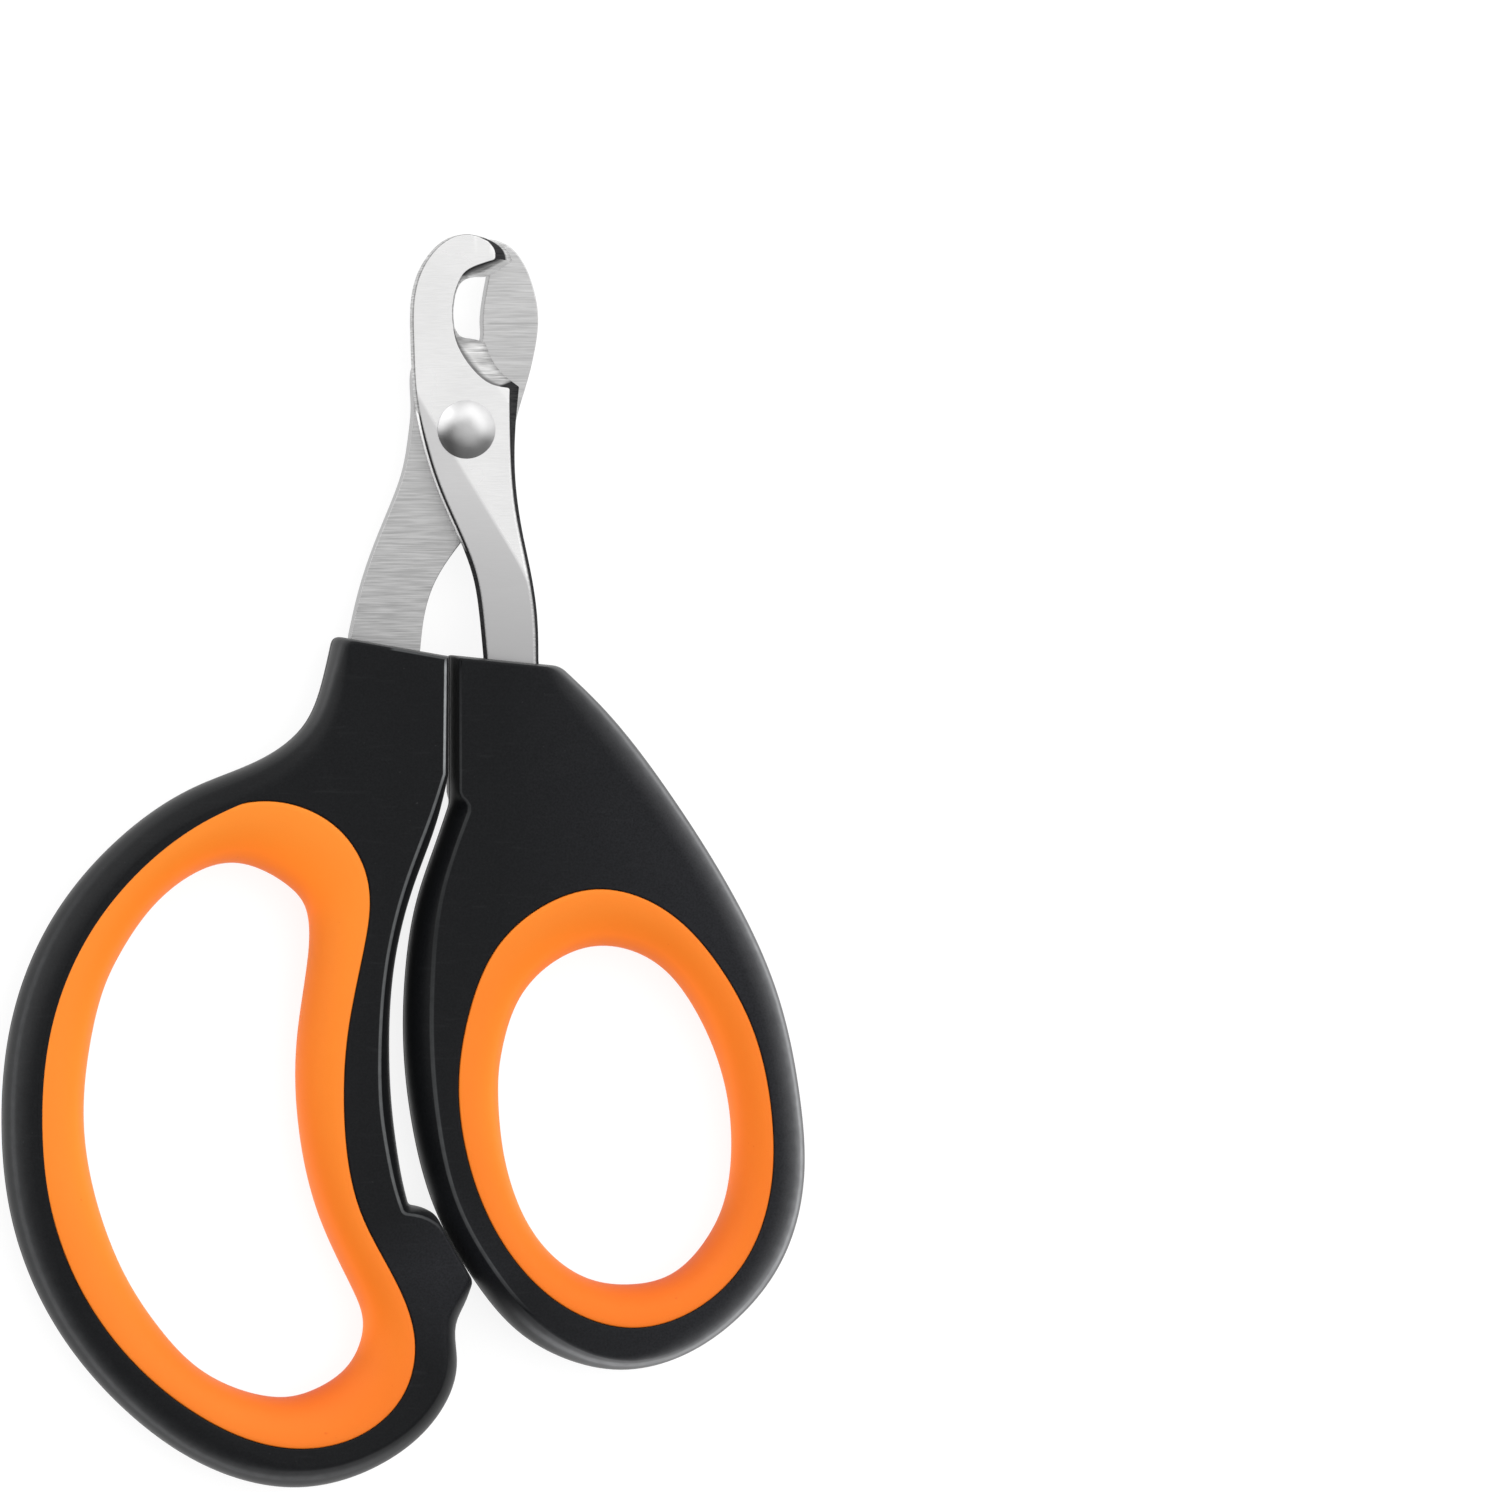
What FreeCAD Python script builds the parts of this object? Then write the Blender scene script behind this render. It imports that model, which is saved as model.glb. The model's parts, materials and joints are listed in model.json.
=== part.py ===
import FreeCAD, Part
import math
import os

# Pet nail trimmer: two plate blades crossed on a rivet, each held in a looped handle made of
# two plastic half shells that clamp a soft grip ring. It is modelled closed and lying flat.
# Row frame: +X towards the thumb handle, +Y towards the jaws, +Z up through the front faces.
# Outlines are written from the hinge axis, with z = 0 where the two blades slide on each other.

# ---- Driving dimensions, mm ----
PIVOT_X = 6.01             # hinge axis, from the middle of the closed outline
PIVOT_Y = 43.10
HALF = 4.5                 # half the thickness of a handle
BLADE = 2.2                # thickness of a blade plate
BLADE_GAP = 0.03           # each blade's distance from the plane where they slide
FIT = 0.05                 # gap round a part that is clamped in a pocket
CROWN = 0.62               # share of the half thickness at the crown's middle section

RIVET_HEAD_R = 2.9
RIVET_HEAD_H = 1.15
SHANK_R = 1.6
SHANK_RUN_FIT = 0.05       # radial, in the blade that turns
SHANK_HELD_FIT = 0.01      # radial, in the blade and washer that don't
WASHER_R = 3.05
WASHER_T = 0.5
WASHER_CHAMFER = 0.15
TAIL_R = 2.0
TAIL_H = 0.9

PEG_R = 1.3
PEG_H = 3.3                # a peg's height above the split of the shells
PEG_ROOT = 3.0             # its depth below the split, past the slot for a tang
PEG_FIT = 0.06

TONGUE_W = 0.9             # ridge round a grip that the two shells trap
TONGUE_H = 0.8             # its height each side of the split
THROAT_SHARES = (0.0, 0.06, 0.22, 0.48, 0.86)   # how far the bore has opened out to the rim
THROAT_ANGLES = (0, 20, 39, 59, 90)             # degrees, along a quarter ellipse

# ---- Outlines, mm from the hinge axis ----
# A run is a smooth stretch of an outline, and an outline's runs follow one another in a ring.
# Each point of a handle run is x, y and how far the edge of the flat face stands inside the
# widest section there. The thumb handle's second run is the step at the end of its neck.

FINGER_RUNS = [
    [(-13.1, -20.6, 1.0), (-14.0, -24.5, 1.2), (-15.9, -29.3, 1.5), (-19.3, -32.3, 1.8),
     (-26.9, -35.6, 2.0), (-35.0, -41.1, 2.1), (-41.4, -48.8, 2.2), (-45.4, -58.6, 2.2),
     (-46.5, -69.0, 2.2), (-45.3, -79.5, 2.2), (-41.1, -89.4, 2.1), (-34.0, -97.9, 2.0),
     (-25.4, -103.7, 2.0), (-16.4, -105.6, 1.9), (-8.3, -103.3, 1.8), (-2.8, -98.7, 1.7),
     (-0.7, -93.0, 1.6), (-0.8, -89.3, 1.5), (0.1, -87.2, 1.3), (0.85, -85.1, 1.0)],
    [(0.85, -85.1, 0.6), (-3.0, -78.3, 0.6)],
    [(-3.0, -78.3, 1.0), (-4.1, -77.7, 1.0), (-5.65, -77.35, 1.0)],
    [(-5.65, -77.35, 1.2), (-6.05, -75.8, 1.35), (-6.75, -72.0, 1.5), (-7.2, -68.5, 1.6),
     (-7.55, -61.5, 1.45), (-7.1, -53.9, 1.3), (-5.1, -45.6, 1.3), (-2.6, -38.6, 1.2),
     (-1.65, -34.5, 0.9)],
    [(-1.65, -34.5, 0.8), (-1.65, -22.6, 0.7)],
    [(-1.65, -22.6, 0.3), (-13.1, -20.6, 0.3)],
]

THUMB_RUNS = [
    [(-1.35, -22.5, 0.3), (-1.35, -36.2, 0.35)],
    [(-1.35, -36.2, 0.35), (-1.35, -36.7, 0.55), (-1.38, -37.2, 1.25), (-1.5, -37.7, 1.5)],
    [(-1.5, -37.7, 1.5), (-2.7, -41.2, 1.4), (-4.6, -46.8, 1.7), (-5.8, -54.0, 2.1),
     (-6.0, -61.5, 2.2), (-5.1, -69.5, 2.0), (-2.65, -78.2, 1.7), (1.15, -84.95, 1.7),
     (5.6, -90.1, 1.7), (10.8, -93.0, 1.3), (16.0, -93.95, 1.1), (21.8, -92.7, 1.4),
     (27.4, -89.1, 1.8), (32.1, -83.2, 2.1), (34.4, -74.9, 2.1), (34.0, -66.8, 2.1),
     (31.6, -56.0, 2.0), (27.2, -46.4, 2.0), (20.8, -36.3, 2.0), (13.8, -27.5, 1.9),
     (9.7, -23.6, 1.2)],
    [(9.7, -23.6, 0.3), (-1.35, -22.5, 0.3)],
]

# A rib is a point of a grip ring's rim and the point of its throat that it faces.
FINGER_RIBS = [
    (-20.3, -37.1, -22.6, -43.3), (-27.3, -38.9, -27.3, -44.4), (-33.3, -43.2, -31.5, -47.8),
    (-38.2, -49.3, -34.8, -52.6), (-41.6, -56.8, -36.9, -57.8), (-43.2, -65.0, -38.2, -65.5),
    (-43.0, -73.4, -37.9, -73.0), (-40.0, -84.1, -35.0, -82.6), (-34.0, -92.9, -30.8, -89.5),
    (-27.2, -98.4, -26.1, -94.1), (-18.6, -101.6, -19.6, -96.5), (-10.9, -100.3, -15.0, -95.8),
    (-6.6, -96.2, -11.5, -93.3), (-5.5, -91.2, -10.1, -89.8), (-7.3, -85.3, -11.1, -85.9),
    (-10.9, -78.3, -14.4, -78.8), (-12.6, -69.2, -16.6, -69.4), (-12.2, -59.8, -16.7, -60.3),
    (-10.6, -51.6, -15.6, -52.2), (-10.2, -45.4, -15.8, -48.0), (-12.9, -40.2, -17.6, -45.6),
]

THUMB_RIBS = [
    (12.7, -45.9, 13.4, -51.6), (7.2, -47.7, 9.1, -53.2), (2.7, -51.8, 5.6, -56.9),
    (0.1, -57.7, 3.9, -61.9), (-1.1, -65.6, 3.5, -66.8), (-0.3, -72.3, 4.1, -72.6),
    (1.9, -78.6, 6.0, -78.4), (5.8, -84.4, 9.2, -82.7), (10.9, -88.3, 12.9, -84.9),
    (16.6, -89.7, 16.8, -85.4), (22.6, -88.0, 21.2, -84.3), (27.6, -83.4, 24.8, -80.6),
    (30.4, -76.0, 26.8, -75.6), (30.5, -68.2, 27.1, -69.4), (28.5, -59.6, 25.5, -62.2),
    (25.0, -53.3, 22.7, -56.7), (19.6, -47.9, 18.7, -52.8),
]

# The hooked blade's edges at the sliding plane, and where they differ on its front face.
RIGHT_EDGE = [(7.4, -23.1), (7.35, -18.6), (6.6, -13.4), (5.6, -8.0), (5.2, -3.5),
              (5.3, 0.5), (5.65, 4.3)]
RIGHT_EDGE_FRONT = [(7.4, -23.1), (7.2, -18.6), (6.35, -13.4), (5.2, -8.0), (4.7, -3.5),
                    (4.5, 0.5), (4.4, 4.2)]
NOTCH_FOOT = [(5.65, 4.3), (4.4, 5.25), (3.4, 6.3), (2.7, 7.5), (2.25, 8.7)]
NOTCH_FOOT_FRONT = [(4.4, 4.2), (2.5, 4.6), (1.2, 5.5), (0.1, 6.75)]
NOTCH_HEEL = [(2.25, 8.7), (0.9, 9.1), (-0.3, 9.35), (-0.9, 10.3)]
NOTCH_HEEL_FRONT = [(0.1, 6.75), (-0.65, 8.0), (-1.1, 9.2), (-1.3, 10.3)]
NOTCH_SIDE = [(-0.9, 10.3), (-1.0, 11.8), (-0.8, 13.4)]
NOTCH_SIDE_FRONT = [(-1.3, 10.3), (-1.4, 11.8), (-1.2, 13.4)]
NOTCH_ROOF = [(-0.8, 13.4), (-0.2, 14.7), (0.9, 15.2), (2.5, 15.3), (3.7, 16.0), (4.95, 16.85)]
NOTCH_ROOF_FRONT = [(-1.2, 13.4), (-0.8, 14.6), (-0.1, 15.7), (1.2, 16.4), (2.95, 16.95)]
HOOK_TIP = [(4.95, 16.85), (4.75, 17.5), (4.1, 18.25), (3.3, 18.7)]
HOOK_TIP_FRONT = [(2.95, 16.95), (2.9, 17.9), (2.2, 18.85)]
HOOK_BACK = [(3.3, 18.7), (1.8, 19.3), (0.1, 19.5), (-1.7, 19.05), (-3.5, 17.5), (-4.75, 15.3),
             (-5.35, 12.4), (-5.35, 9.0), (-5.0, 3.1), (-4.2, -1.0), (-2.6, -6.0),
             (-0.6, -10.5), (1.0, -14.8), (1.6, -18.4), (2.0, -22.5)]
HOOK_BACK_FRONT = [(2.2, 18.85), (1.2, 19.3)] + HOOK_BACK[2:]
HOOKED_TANG = [(2.0, -22.5), (3.2, -40.0), (9.0, -40.0), (7.4, -23.1)]

# The blunt blade is a straight-sided plate.
JAW_BACK = [(-4.3, -21.8), (-3.9, -18.6), (-2.9, -15.4), (-0.9, -12.2), (1.9, -8.5),
            (4.2, -3.8), (5.5, 1.5), (6.6, 5.2), (7.35, 8.5), (7.6, 11.2), (7.1, 14.2),
            (5.9, 17.0), (4.4, 18.5), (2.7, 19.05)]
JAW_END = [(2.7, 19.05), (2.3, 17.9)]
JAW_EDGE = [(2.3, 17.9), (2.65, 16.2), (2.4, 14.2), (2.1, 12.4), (1.97, 10.6), (1.95, 9.0),
            (1.2, 7.8), (-0.6, 7.3), (-3.6, 7.3)]
JAW_FRONT = [(-3.6, 7.3), (-4.7, 6.6), (-5.1, 5.0), (-5.0, 2.1), (-5.2, -0.2), (-5.85, -4.0),
             (-7.3, -8.0), (-9.0, -12.2), (-10.3, -16.2), (-11.3, -20.5)]
BLUNT_TANG = [(-11.3, -20.5), (-12.3, -36.0), (-6.3, -36.5), (-4.3, -21.8)]

# Pegs of the rear shells. The first of each goes through the blade's tang.
THUMB_PEGS = [(5.6, -35.0), (14.0, -38.2)]
FINGER_PEGS = [(-9.0, -31.5), (-15.9, -33.8), (-3.5, -85.4)]


# ---- Helpers ----

def at(point, z):
    return FreeCAD.Vector(point[0], point[1], z)


def smooth_edge(points, z):
    """A straight edge through two points, or a spline through more."""
    if len(points) == 2:
        return Part.makeLine(at(points[0], z), at(points[1], z))
    curve = Part.BSplineCurve()
    curve.interpolate([at(point, z) for point in points])
    return curve.toShape()


def loop_wire(points, z):
    """A closed smooth wire of two edges, which meet at its first point and its middle one."""
    places = [at(point, z) for point in points]
    curve = Part.BSplineCurve()
    curve.interpolate(places, PeriodicFlag=True)
    middle = curve.parameter(places[len(places) // 2])
    halves = []
    for start, end in ((curve.FirstParameter, middle), (middle, curve.LastParameter)):
        half = curve.copy()
        half.segment(start, end)
        halves.append(half.toShape())
    return Part.Wire(halves)


def runs_wire(runs, z):
    return Part.Wire([smooth_edge(run, z) for run in runs])


def prism(wire, height):
    return Part.Face(wire).extrude(FreeCAD.Vector(0, 0, height))


def disc(point, radius, low, high):
    return Part.makeCylinder(radius, high - low, at(point, low))


def left_normals(points, closed=False):
    """Unit vectors to the left of the curve through the points, one at each point."""
    curve = Part.BSplineCurve()
    places = [at(point, 0) for point in points]
    if closed:
        curve.interpolate(places, PeriodicFlag=True)
    else:
        curve.interpolate(places)
    normals = []
    for place in places:
        tangent = curve.tangent(curve.parameter(place))[0]
        normals.append(FreeCAD.Vector(-tangent.y, tangent.x, 0))
    return normals


def corner_shift(normal_a, inset_a, normal_b, inset_b):
    """The shift of a corner that moves both its edges in by their insets."""
    cross = normal_a.x * normal_b.y - normal_a.y * normal_b.x
    if abs(cross) < 0.35:
        return (normal_a + normal_b) * ((inset_a + inset_b) / 4)
    x = (inset_a * normal_b.y - inset_b * normal_a.y) / cross
    y = (inset_b * normal_a.x - inset_a * normal_b.x) / cross
    return FreeCAD.Vector(x, y, 0)


def inset_runs(runs, share):
    """The outline's runs, moved in by a share of the inset at each point."""
    normals = [left_normals(run) for run in runs]
    moved = []
    for i, run in enumerate(runs):
        shifts = [normal * point[2] for normal, point in zip(normals[i], run)]
        before = (i - 1) % len(runs)
        after = (i + 1) % len(runs)
        shifts[0] = corner_shift(normals[before][-1], runs[before][-1][2],
                                 normals[i][0], run[0][2])
        shifts[-1] = corner_shift(normals[i][-1], run[-1][2],
                                  normals[after][0], runs[after][0][2])
        moved.append([(point[0] + shift.x * share, point[1] + shift.y * share)
                      for point, shift in zip(run, shifts)])
    return moved


def grown_loop(points, distance):
    """Points of a closed counter-clockwise loop, moved outwards."""
    normals = left_normals(points, closed=True)
    return [(point[0] - normal.x * distance, point[1] - normal.y * distance)
            for point, normal in zip(points, normals)]


def rim_points(ribs):
    return [rib[:2] for rib in ribs]


def save(shape, name):
    """Move a shape from the hinge's frame to the row frame and write it."""
    placed = shape.copy()
    placed.translate(FreeCAD.Vector(PIVOT_X, PIVOT_Y, HALF))
    placed.exportStep("parts/" + name + ".step")


# ---- Blades ----

def hooked_runs(front):
    """The hooked blade's outline, at its front face or at the sliding plane."""
    if front:
        shaped = [RIGHT_EDGE_FRONT, NOTCH_FOOT_FRONT, NOTCH_HEEL_FRONT, NOTCH_SIDE_FRONT,
                  NOTCH_ROOF_FRONT, HOOK_TIP_FRONT, HOOK_BACK_FRONT]
    else:
        shaped = [RIGHT_EDGE, NOTCH_FOOT, NOTCH_HEEL, NOTCH_SIDE, NOTCH_ROOF, HOOK_TIP,
                  HOOK_BACK]
    return shaped + [HOOKED_TANG[i:i + 2] for i in range(3)]


def make_front_blade():
    low = runs_wire(hooked_runs(front=False), BLADE_GAP)
    high = runs_wire(hooked_runs(front=True), BLADE_GAP + BLADE)
    plate = Part.makeLoft([low, high], True, True)
    pivot_hole = disc((0, 0), SHANK_R + SHANK_RUN_FIT, 0, HALF)
    peg_hole = disc(THUMB_PEGS[0], PEG_R + PEG_FIT, 0, HALF)
    return plate.cut(pivot_hole).cut(peg_hole)


def make_rear_blade():
    runs = [JAW_BACK, JAW_END, JAW_EDGE, JAW_FRONT]
    runs += [BLUNT_TANG[i:i + 2] for i in range(3)]
    plate = prism(runs_wire(runs, -BLADE_GAP), -BLADE)
    pivot_hole = disc((0, 0), SHANK_R + SHANK_HELD_FIT, -HALF, 0)
    peg_hole = disc(FINGER_PEGS[0], PEG_R + PEG_FIT, -HALF, 0)
    return plate.cut(pivot_hole).cut(peg_hole)


# ---- Pivot ----

def cap(radius, height):
    """A spherical cap standing on z = 0."""
    sphere_r = (radius ** 2 + height ** 2) / (2 * height)
    ball = Part.makeSphere(sphere_r, FreeCAD.Vector(0, 0, height - sphere_r))
    return ball.common(Part.makeCylinder(radius * 1.5, height))


def make_rivet():
    head_z = 2 * BLADE_GAP + BLADE
    tail_z = -BLADE_GAP - BLADE - WASHER_T
    head = cap(RIVET_HEAD_R, RIVET_HEAD_H)
    head.translate(FreeCAD.Vector(0, 0, head_z))
    tail = cap(TAIL_R, TAIL_H)
    tail.rotate(FreeCAD.Vector(0, 0, 0), FreeCAD.Vector(1, 0, 0), 180)
    tail.translate(FreeCAD.Vector(0, 0, tail_z))
    shank = disc((0, 0), SHANK_R, tail_z, head_z)
    return head.fuse([shank, tail]).removeSplitter()


def make_washer():
    top_z = -BLADE_GAP - BLADE
    bore = disc((0, 0), SHANK_R + SHANK_HELD_FIT, -HALF, 0)
    ring = disc((0, 0), WASHER_R, top_z - WASHER_T, top_z).cut(bore)
    rims = [edge for edge in ring.Edges
            if abs(edge.Length - 2 * math.pi * WASHER_R) < 0.01 and edge.CenterOfMass.z < top_z - 0.1]
    return ring.makeChamfer(WASHER_CHAMFER, rims)


# ---- Handles ----

def half_body(runs, side):
    """One half of a handle, crowned from the split up to the flat face. side is 1 or -1."""
    half_angle = math.asin(CROWN)
    middle_share = (1 - math.cos(half_angle)) * 0.8
    sections = [runs_wire(inset_runs(runs, 0), 0),
                runs_wire(inset_runs(runs, middle_share), side * HALF * CROWN),
                runs_wire(inset_runs(runs, 1), side * HALF)]
    return Part.makeLoft(sections, True, False)


def ring_pocket(ribs, side):
    """The hole that the grip fills, with the groove for half of its tongue."""
    rim = rim_points(ribs)
    hole = prism(loop_wire(grown_loop(rim, FIT), -side), side * (HALF + 2))
    groove = prism(loop_wire(grown_loop(rim, TONGUE_W + FIT), -side),
                   side * (TONGUE_H + FIT + 1))
    return hole.fuse(groove)


def tang_pocket(tang, side):
    """The slot for a tang, open at the split and at the end of the neck."""
    left, low_left, low_right, right = tang
    mouth_left = (left[0] - FIT, left[1] + 3)
    mouth_right = (right[0] + FIT, right[1] + 3)
    corners = [mouth_left, (left[0] - FIT, left[1]), (low_left[0] - FIT, low_left[1] - FIT),
               (low_right[0] + FIT, low_right[1] - FIT), (right[0] + FIT, right[1]),
               mouth_right]
    sides = [corners[i:i + 2] for i in range(5)] + [[mouth_right, mouth_left]]
    depth = BLADE_GAP + BLADE + FIT
    return prism(runs_wire(sides, -side), side * (1 + depth))


def make_front_shell(runs, ribs, pegs, tang=None):
    """The front half, with the pegs' sockets and the tang's slot where the blade is in front."""
    shell = half_body(runs, 1).cut(ring_pocket(ribs, 1))
    if tang:
        shell = shell.cut(tang_pocket(tang, 1))
    for peg in pegs:
        shell = shell.cut(disc(peg, PEG_R + PEG_FIT, 0, PEG_H + PEG_FIT))
    return shell


def make_rear_shell(runs, ribs, pegs, tang=None):
    """The rear half, with the pegs moulded on."""
    shell = half_body(runs, -1).cut(ring_pocket(ribs, -1))
    if tang:
        shell = shell.cut(tang_pocket(tang, -1))
    for peg in pegs:
        shell = shell.fuse(disc(peg, PEG_R, -PEG_ROOT, PEG_H))
    return shell.removeSplitter()


def make_grip(ribs):
    """A ring flush with both faces, rolled in to a throat at the split, with its tongue."""
    rim = rim_points(ribs)
    body = prism(loop_wire(rim, -HALF), 2 * HALF)
    body = body.fuse(prism(loop_wire(grown_loop(rim, TONGUE_W), -TONGUE_H), 2 * TONGUE_H))
    for side in (1, -1):
        sections = []
        for share, angle in zip(THROAT_SHARES, THROAT_ANGLES):
            points = [(xt + (xr - xt) * share, yt + (yr - yt) * share)
                      for xr, yr, xt, yt in ribs]
            sections.append(loop_wire(points, side * HALF * math.sin(math.radians(angle))))
        body = body.cut(Part.makeLoft(sections, True, False))
    return body


# ---- Make and write every node ----

os.makedirs("parts", exist_ok=True)

save(make_front_blade(), "front_blade")
save(make_rear_blade(), "rear_blade")
save(make_rivet(), "pivot_rivet")
save(make_washer(), "rivet_washer")
save(make_front_shell(THUMB_RUNS, THUMB_RIBS, THUMB_PEGS, tang=HOOKED_TANG),
     "thumb_handle_front_shell")
save(make_rear_shell(THUMB_RUNS, THUMB_RIBS, THUMB_PEGS), "thumb_handle_rear_shell")
save(make_front_shell(FINGER_RUNS, FINGER_RIBS, FINGER_PEGS), "finger_handle_front_shell")
save(make_rear_shell(FINGER_RUNS, FINGER_RIBS, FINGER_PEGS, tang=BLUNT_TANG),
     "finger_handle_rear_shell")
save(make_grip(THUMB_RIBS), "thumb_grip")
save(make_grip(FINGER_RIBS), "finger_grip")
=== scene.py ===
import json
import math

import bmesh
import bpy
import numpy as np
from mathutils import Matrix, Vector


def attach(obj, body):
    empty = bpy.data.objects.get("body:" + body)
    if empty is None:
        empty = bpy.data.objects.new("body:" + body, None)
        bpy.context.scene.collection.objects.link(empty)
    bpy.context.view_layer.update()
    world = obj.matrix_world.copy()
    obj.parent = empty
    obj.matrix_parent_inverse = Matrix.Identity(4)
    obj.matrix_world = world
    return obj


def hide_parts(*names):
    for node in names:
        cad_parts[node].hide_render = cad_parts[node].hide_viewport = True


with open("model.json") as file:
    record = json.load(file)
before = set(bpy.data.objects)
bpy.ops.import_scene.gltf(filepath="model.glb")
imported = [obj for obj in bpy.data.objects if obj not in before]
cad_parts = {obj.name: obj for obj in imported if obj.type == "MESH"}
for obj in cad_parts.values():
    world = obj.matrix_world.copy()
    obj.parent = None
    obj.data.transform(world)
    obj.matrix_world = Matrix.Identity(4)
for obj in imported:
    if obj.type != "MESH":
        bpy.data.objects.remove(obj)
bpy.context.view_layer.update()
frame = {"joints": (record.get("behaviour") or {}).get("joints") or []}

MM = 0.001

# ---- Sizes, mm, as in the CAD source ----
HINGE = np.array(frame["joints"][0]["pos_m"]) / MM   # every outline is measured from here
HALF = HINGE[2]            # half the thickness of a handle, which lies on z = 0
BLADE_GAP = 0.03
BLADE = 2.2
SHANK_R = 1.6
TONGUE_W = 0.9
TONGUE_H = 0.8
FIT = 0.05

# ---- Sizes of the finish, mm ----
PITCH = 0.7                # spacing of the points along a handle's outline
BLADE_PITCH = 0.35         # and along a blade's
FINE = 400                 # points of a run while it is measured and trimmed
CORNER_TURN = 20           # degrees: a run that turns less from the one before goes on smoothly
SMALL_TURN = 0.35          # the sine of a turn too small to find a corner by its two edges
ROUND_SHARE = 0.4          # the most of a run that the rounding of one corner takes
FINGER_CORNERS = (0.8, 0.5, 0.5, 0.4, 0.3, 0.15)   # how far each run's first corner is rounded
THUMB_CORNERS = (0.2, 0.3, 0.3, 0.8)
BACK_CORNER = 0.15         # the same for a blade's low outline
FRONT_CORNER = 0.3         # and for its high one
WALL_ROWS = 12             # rows of points up a handle's wall
BAND_ROW = 8.5             # the row where the outer side's painted highlight is strongest
BAND_WIDTH = 1.1           # and over how many rows it fades
SOFTENING = 12             # how often a value round an outline is averaged with its neighbours
CROWN_ANGLE = math.radians(52)
FACE_EDGE = 0.25           # rounding of the crisp edge round a handle's flat face
SOFT_EDGE = 1.0            # how much wider it is along the handle's outer side
RIM_EDGE = 0.14            # rounding of the shell beside a grip
SEAM = 0.1                 # half the width of the parting line
BLADE_EDGE = 0.12
BACK_EDGE = (0.04, 0.05)   # how far in and how high the edge of a blade's rear face is broken
SHARP = math.radians(50)   # edges that turn more than this are shaded sharp
LIP_SHARE = 0.9            # where the grip's roll meets its flat lip
LIP_DROP = 0.02            # how far the lip lies below the handle's face
ROLL_ROWS = 15             # rows of points from a grip's lip to its throat
ROLL_STEP = 6              # degrees between them
TURNING_FIT = 0.05         # gap round the rivet in the blade that turns on it
PRESSED_FIT = 0.01         # and in the blade that holds it
PEG_HOLE_R = 1.36          # the hole in each tang for its handle's peg
THUMB_PEG = (5.6, -35.0)
FINGER_PEG = (-9.0, -31.5)
FACET_START = np.array([-4.66, 3.1])   # the ground facet's ridge across the hooked blade
FACET_END = np.array([6.45, -15.1])
FACET_SLOPE = 0.045        # how fast the facet falls away from its ridge
CURL_START = -12.8         # below this y the painted reflection's border leaves the ridge's line
CURL_REACH = 4.7           # how far down it bends as a parabola, before it runs on straight
CURL_BEND = 0.0394         # the parabola's factor
CURL_SLOPE = 0.3           # the slope of the straight part
SCORE_Y = 10.6             # where the blunt blade has one darker score across it

# Painted highlight on the handles' edges beside the gap: places along y, and its strength there.
FINGER_EDGE_HIGHLIGHT = ([-79, -76, -50, -36, -33, -23.5, -22.6], [0, 0.3, 0.3, 0.35, 1.0, 1.0, 0.2])
THUMB_EDGE_HIGHLIGHT = ([-90, -86, -72, -60, -50, -37, -30, -24],
              [0, 0.15, 0.16, 0.1, 0.04, 0.08, 0.06, 0.02])

# ---- Stage and camera ----
FLOOR_SIZE = 3.0           # m, from its middle to its edges
FLOOR_DROP = 0.0002        # m
TILT = math.radians(8.9)   # the camera stands a little to the finger handle's side
DISTANCE = 4.0             # m
FRAME_WIDTH = 0.150        # m, what the frame takes in at the blades' plane
FRAME_CENTRE = (29.0, -31.6)   # mm from the hinge axis

# Soft glows of the studio: the middle, the angles from it where the glow starts and is full, and
# the strength.
STUDIO = [
    ((0, 0, 1), 180, 89, 0.10),
    ((0.22, 0.15, 1), 62, 8, 0.85),
    ((-0.2, 0.85, 0.48), 48, 5, 1.32),
    ((0.80, 0.50, 0.30), 58, 5, 1.55),
    ((0.35, -0.85, 0.35), 50, 5, 0.15),
    ((-0.85, 0.45, 0.3), 42, 5, 2.0),
]

# ---- Outlines, mm from the hinge axis ----

# The handles' edges at mid thickness, counter-clockwise in runs between corners: x, y and how far
# in the edge round the flat face lies.
FINGER_RUNS = [
    [(-13.1, -20.6, 1.0), (-14.0, -24.5, 1.2), (-15.9, -29.3, 1.5), (-19.3, -32.3, 1.8),
     (-26.9, -35.6, 2.0), (-35.0, -41.1, 2.1), (-41.4, -48.8, 2.2), (-45.4, -58.6, 2.2),
     (-46.5, -69.0, 2.2), (-45.3, -79.5, 2.2), (-41.1, -89.4, 2.1), (-34.0, -97.9, 2.0),
     (-25.4, -103.7, 2.0), (-16.4, -105.6, 1.9), (-8.3, -103.3, 1.8), (-2.8, -98.7, 1.7),
     (-0.7, -93.0, 1.6), (-0.8, -89.3, 1.5), (0.1, -87.2, 1.3), (0.85, -85.1, 1.0)],
    [(0.85, -85.1, 0.6), (-3.0, -78.3, 0.6)],
    [(-3.0, -78.3, 1.0), (-4.1, -77.7, 1.0), (-5.65, -77.35, 1.0)],
    [(-5.65, -77.35, 1.2), (-6.05, -75.8, 1.35), (-6.75, -72.0, 1.5), (-7.2, -68.5, 1.6),
     (-7.55, -61.5, 1.45), (-7.1, -53.9, 1.3), (-5.1, -45.6, 1.3), (-2.6, -38.6, 1.2),
     (-1.65, -34.5, 0.9)],
    [(-1.65, -34.5, 0.8), (-1.65, -22.6, 0.7)],
    [(-1.65, -22.6, 0.3), (-13.1, -20.6, 0.3)],
]

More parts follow.
